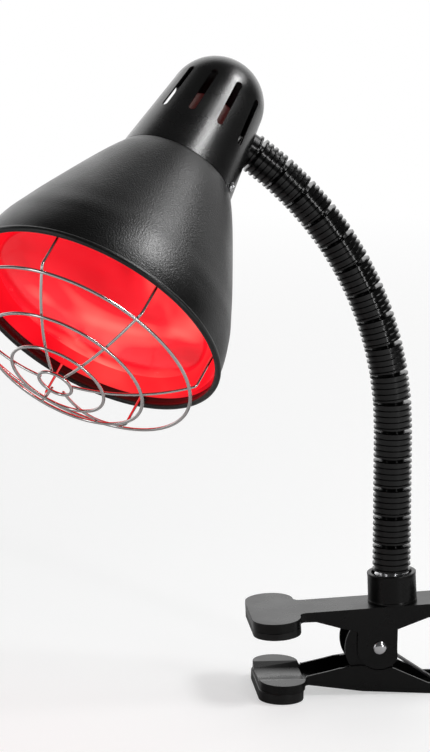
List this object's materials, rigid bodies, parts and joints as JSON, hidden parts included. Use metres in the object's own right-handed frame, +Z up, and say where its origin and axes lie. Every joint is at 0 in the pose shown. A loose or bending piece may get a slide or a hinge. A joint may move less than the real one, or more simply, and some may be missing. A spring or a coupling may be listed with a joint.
{
  "type": "infrared heat therapy lamp",
  "caption": "Clamp-on infrared heat lamp: round metal shade with wire guard and red reflector bulb on a ribbed flexible neck over a sprung two-handle clamp.",
  "frame": {"origin": "on the ground, at the centre of the foot face under the lower jaw", "axes": "+X along the clamp from the jaws to the handles, +Z up, so -Y is the side the picture shows"},
  "size_m": [0.2985, 0.1803, 0.3545],
  "materials": {
    "clamp_black": "gloss black lacquer",
    "neck_black": "satin black",
    "shade_black": "gloss black paint on spun aluminium",
    "rubber_black": "moulded rubber",
    "bright_steel": "zinc plated",
    "spring_steel": "drawn wire",
    "guard_chrome": "chrome plated wire",
    "reflector": "polished, lit red by the bulb",
    "ceramic_white": "glazed",
    "brass": "bare",
    "insulator": "glass bead",
    "bulb_red": "ruby red pressed glass"
  },
  "bodies": {
    "lower_arm": {"lower_arm": "clamp_black", "lower_pad": "rubber_black"},
    "upper_arm": {"upper_arm": "clamp_black", "upper_pad": "rubber_black", "pivot_rivet": "bright_steel", "torsion_spring": "spring_steel", "collar": "clamp_black", "neck_stud": "bright_steel", "stud_nut": "bright_steel", "cord_grommet": "rubber_black"},
    "neck_01": {"neck_link_01": "neck_black"},
    "neck_02": {"neck_link_02": "neck_black"},
    "neck_03": {"neck_link_03": "neck_black"},
    "neck_04": {"neck_link_04": "neck_black"},
    "neck_05": {"neck_link_05": "neck_black"},
    "neck_06": {"neck_link_06": "neck_black"},
    "neck_07": {"neck_link_07": "neck_black"},
    "neck_08": {"neck_link_08": "neck_black"},
    "neck_09": {"neck_link_09": "neck_black"},
    "neck_10": {"neck_link_10": "neck_black"},
    "neck_11": {"neck_link_11": "neck_black"},
    "neck_12": {"neck_link_12": "neck_black"},
    "neck_13": {"neck_link_13": "neck_black"},
    "neck_14": {"neck_link_14": "neck_black"},
    "neck_15": {"neck_link_15": "neck_black"},
    "neck_16": {"neck_link_16": "neck_black"},
    "head": {"neck_fitting": "neck_black", "neck_locknut": "bright_steel", "vented_cap": "shade_black", "cap_screws": "bright_steel", "shade": "shade_black", "inner_reflector": "reflector", "wire_guard": "guard_chrome", "lamp_holder": "ceramic_white", "holder_shell": "brass", "holder_contact": "brass", "holder_bracket": "bright_steel", "holder_screws": "bright_steel", "bulb_glass": "bulb_red", "bulb_cap": "brass", "bulb_insulator": "insulator", "bulb_contact": "brass"}
  },
  "joints": [
    {"name": "clamp_hinge", "type": "hinge", "parent": "lower_arm", "child": "upper_arm", "pos_m": [0.0554, 0, 0.0268], "axis": [0, 1, 0], "range_deg": [0, 28], "stiffness_Nm_per_rad": 1.2, "springref_deg": -57.3, "deforming": ["torsion_spring"]},
    {"name": "neck_low_bend", "type": "hinge", "parent": "upper_arm", "child": "neck_01", "pos_m": [0.06277, 0, 0.06738], "axis": [0, -1, 0], "range_deg": [-6, 6]},
    {"name": "neck_low_bend_02", "type": "hinge", "parent": "neck_01", "child": "neck_02", "pos_m": [0.06249, 0, 0.08368], "axis": [0, -1, 0], "range_deg": [-6, 6]},
    {"name": "neck_side_bend", "type": "hinge", "parent": "neck_02", "child": "neck_03", "pos_m": [0.06221, 0, 0.09998], "axis": [0.9998, 0, 0.0175], "range_deg": [-6, 6]},
    {"name": "neck_low_bend_04", "type": "hinge", "parent": "neck_03", "child": "neck_04", "pos_m": [0.06192, 0, 0.11628], "axis": [0, -1, 0], "range_deg": [-6, 6]},
    {"name": "neck_low_bend_05", "type": "hinge", "parent": "neck_04", "child": "neck_05", "pos_m": [0.06164, 0, 0.13257], "axis": [0, -1, 0], "range_deg": [-6, 6]},
    {"name": "neck_side_bend_06", "type": "hinge", "parent": "neck_05", "child": "neck_06", "pos_m": [0.06135, 0, 0.14887], "axis": [0.9998, 0, 0.0175], "range_deg": [-6, 6]},
    {"name": "neck_high_bend", "type": "hinge", "parent": "neck_06", "child": "neck_07", "pos_m": [0.06038, 0, 0.16514], "axis": [0, -1, 0], "range_deg": [-8, 2.5]},
    {"name": "neck_high_bend_08", "type": "hinge", "parent": "neck_07", "child": "neck_08", "pos_m": [0.05804, 0, 0.18127], "axis": [0, -1, 0], "range_deg": [-8, 2.5]},
    {"name": "neck_side_bend_09", "type": "hinge", "parent": "neck_08", "child": "neck_09", "pos_m": [0.05436, 0, 0.19715], "axis": [0.9741, 0, 0.2262], "range_deg": [-6, 6]},
    {"name": "neck_high_bend_10", "type": "hinge", "parent": "neck_09", "child": "neck_10", "pos_m": [0.04934, 0, 0.21266], "axis": [0, -1, 0], "range_deg": [-8, 2.5]},
    {"name": "neck_high_bend_11", "type": "hinge", "parent": "neck_10", "child": "neck_11", "pos_m": [0.04304, 0, 0.22769], "axis": [0, -1, 0], "range_deg": [-8, 2.5]},
    {"name": "neck_side_bend_12", "type": "hinge", "parent": "neck_11", "child": "neck_12", "pos_m": [0.0355, 0, 0.24214], "axis": [0.8865, 0, 0.4628], "range_deg": [-6, 6]},
    {"name": "neck_high_bend_13", "type": "hinge", "parent": "neck_12", "child": "neck_13", "pos_m": [0.02677, 0, 0.25591], "axis": [0, -1, 0], "range_deg": [-8, 2.5]},
    {"name": "neck_high_bend_14", "type": "hinge", "parent": "neck_13", "child": "neck_14", "pos_m": [0.01691, 0, 0.26889], "axis": [0, -1, 0], "range_deg": [-8, 2.5]},
    {"name": "neck_side_bend_15", "type": "hinge", "parent": "neck_14", "child": "neck_15", "pos_m": [0.00599, 0, 0.28099], "axis": [0.7425, 0, 0.6698], "range_deg": [-6, 6]},
    {"name": "neck_high_bend_16", "type": "hinge", "parent": "neck_15", "child": "neck_16", "pos_m": [-0.00591, 0, 0.29213], "axis": [0, -1, 0], "range_deg": [-8, 2.5]},
    {"name": "neck_high_bend_17", "type": "hinge", "parent": "neck_16", "child": "head", "pos_m": [-0.0187, 0, 0.30223], "axis": [0, -1, 0], "range_deg": [-8, 2.5]}
  ],
  "couplings": [
    {"joint": "neck_low_bend_02", "follows": "neck_low_bend", "ratio": 1},
    {"joint": "neck_low_bend_04", "follows": "neck_low_bend", "ratio": 1},
    {"joint": "neck_low_bend_05", "follows": "neck_low_bend", "ratio": 1},
    {"joint": "neck_side_bend_06", "follows": "neck_side_bend", "ratio": 1},
    {"joint": "neck_high_bend_08", "follows": "neck_high_bend", "ratio": 1},
    {"joint": "neck_side_bend_09", "follows": "neck_side_bend", "ratio": 1},
    {"joint": "neck_high_bend_10", "follows": "neck_high_bend", "ratio": 1},
    {"joint": "neck_high_bend_11", "follows": "neck_high_bend", "ratio": 1},
    {"joint": "neck_side_bend_12", "follows": "neck_side_bend", "ratio": 1},
    {"joint": "neck_high_bend_13", "follows": "neck_high_bend", "ratio": 1},
    {"joint": "neck_high_bend_14", "follows": "neck_high_bend", "ratio": 1},
    {"joint": "neck_side_bend_15", "follows": "neck_side_bend", "ratio": 1},
    {"joint": "neck_high_bend_16", "follows": "neck_high_bend", "ratio": 1},
    {"joint": "neck_high_bend_17", "follows": "neck_high_bend", "ratio": 1}
  ]
}
